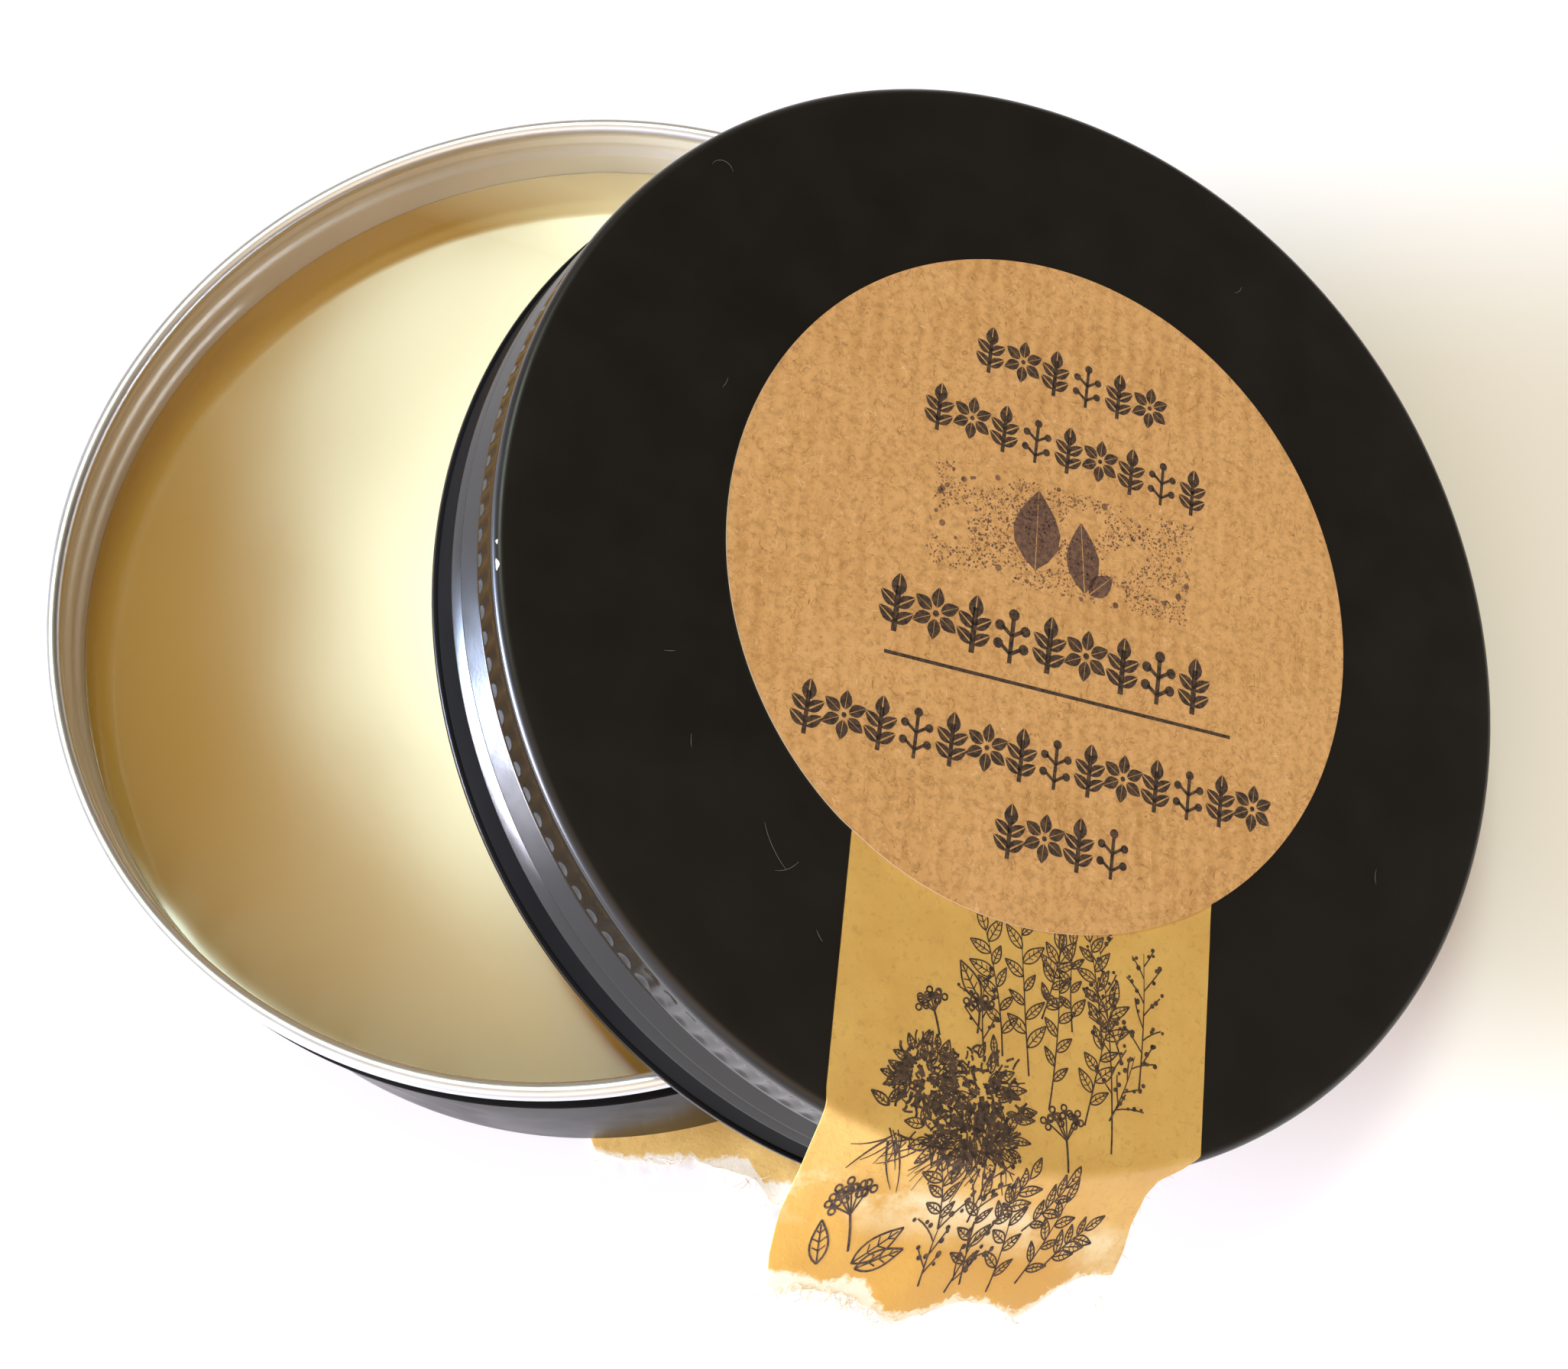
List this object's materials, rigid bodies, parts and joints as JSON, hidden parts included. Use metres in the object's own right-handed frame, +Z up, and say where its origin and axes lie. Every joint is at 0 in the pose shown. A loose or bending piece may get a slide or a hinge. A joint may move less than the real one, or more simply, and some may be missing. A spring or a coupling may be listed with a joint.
{
  "type": "screw_top_tin",
  "caption": "Open 83 mm screw-top aluminium tin of care wax: the black lid with its round kraft label leans on the base's rim, and a torn paper seal strip hangs from both.",
  "frame": {"origin": "centre of the base's flat underside", "axes": "+Z up out of the open base; +X from the base towards the leaning lid; right-handed"},
  "size_m": [0.1109, 0.0916, 0.0485],
  "materials": {
    "tin_sheet": "bright drawn sheet",
    "black_lacquer": "satin",
    "wax": "smooth, glossy",
    "liner_foam": "matte",
    "label_kraft": "matte, ribbed",
    "seal_paper": "matte"
  },
  "bodies": {
    "tin_base": {"base_can": "tin_sheet", "wax_fill": "wax", "base_seal_tape": "seal_paper"},
    "sealing_disc": {"lid_liner": "liner_foam"},
    "lid": {"lid_shell": "black_lacquer", "lid_label": "label_kraft", "lid_seal_tape": "seal_paper"}
  },
  "joints": [
    {"name": "lid_lift", "type": "slide", "parent": "tin_base", "child": "sealing_disc", "axis": [0, 0, 1], "range_m": [0, 0.06]},
    {"name": "lid_turn", "type": "hinge", "parent": "sealing_disc", "child": "lid", "pos_m": [0.03225, 0, 0.02428], "axis": [0.4584, 0, 0.8887], "range_deg": [-180, 45]}
  ]
}
